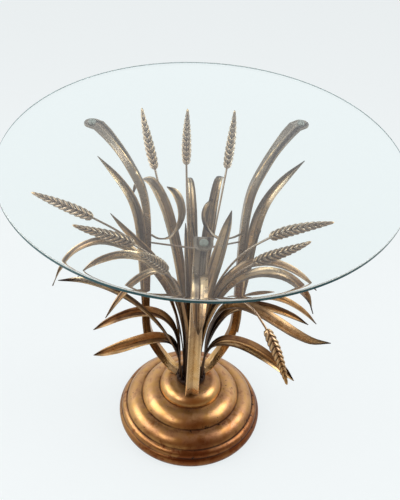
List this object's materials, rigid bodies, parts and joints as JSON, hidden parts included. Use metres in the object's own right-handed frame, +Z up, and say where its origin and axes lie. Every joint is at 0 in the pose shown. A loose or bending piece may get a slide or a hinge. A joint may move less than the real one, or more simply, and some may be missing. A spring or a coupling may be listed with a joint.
{
  "type": "side table",
  "caption": "Round side table: a loose glass top on clear bumpers, carried by folded arms in a gilt metal sheaf of wheat leaves and ears on a stepped round base.",
  "frame": {"origin": "centre of the felt disc on the floor, under the middle of the glass", "axes": "+Z up, -Y towards the front arm and +X to the right as seen from the front"},
  "size_m": [0.6, 0.6, 0.58],
  "materials": {
    "gilt": "gilt with brown patina and worn spots",
    "iron": "rough cast",
    "steel": "zinc plated",
    "felt": "felt",
    "bumper": "clear soft bumper",
    "glass": "clear float glass with a ground edge"
  },
  "bodies": {
    "stand": {"arm_front": "gilt", "arm_left": "gilt", "arm_right": "gilt", "ballast_disc": "iron", "base_shell": "gilt", "blade_back": "gilt", "blade_back_left": "gilt", "blade_back_right": "gilt", "blade_front": "gilt", "blade_front_left": "gilt", "bumper_front": "bumper", "bumper_left": "bumper", "bumper_right": "bumper", "ear_back": "gilt", "ear_back_left": "gilt", "ear_back_right": "gilt", "ear_front_left": "gilt", "ear_hanging": "gilt", "ear_left": "gilt", "ear_left_front": "gilt", "ear_right": "gilt", "ear_right_front": "gilt", "felt_disc": "felt", "leaf_by_left_arm": "gilt", "leaf_by_right_arm": "gilt", "leaf_curled_left": "gilt", "leaf_curled_right": "gilt", "leaf_front_upright": "gilt", "leaf_left_arching": "gilt", "leaf_left_drooping": "gilt", "leaf_left_low": "gilt", "leaf_left_middle": "gilt", "leaf_left_rising": "gilt", "leaf_left_short": "gilt", "leaf_left_upper": "gilt", "leaf_on_front_arm": "gilt", "leaf_right_back": "gilt", "leaf_right_broad": "gilt", "leaf_right_low": "gilt", "leaf_right_middle": "gilt", "leaf_right_sloping": "gilt", "leaf_right_upper": "gilt", "leaf_right_upright": "gilt", "rod_nut": "steel", "rod_sleeve": "steel", "rod_washer": "steel", "sheaf_hub": "gilt", "tie_rod": "steel", "tie_wire": "gilt"},
    "glass": {"glass_top": "glass"}
  },
  "joints": [
    {"name": "glass_lift", "type": "slide", "parent": "stand", "child": "glass", "axis": [0, 0, 1], "range_m": [0, 0.12]}
  ]
}
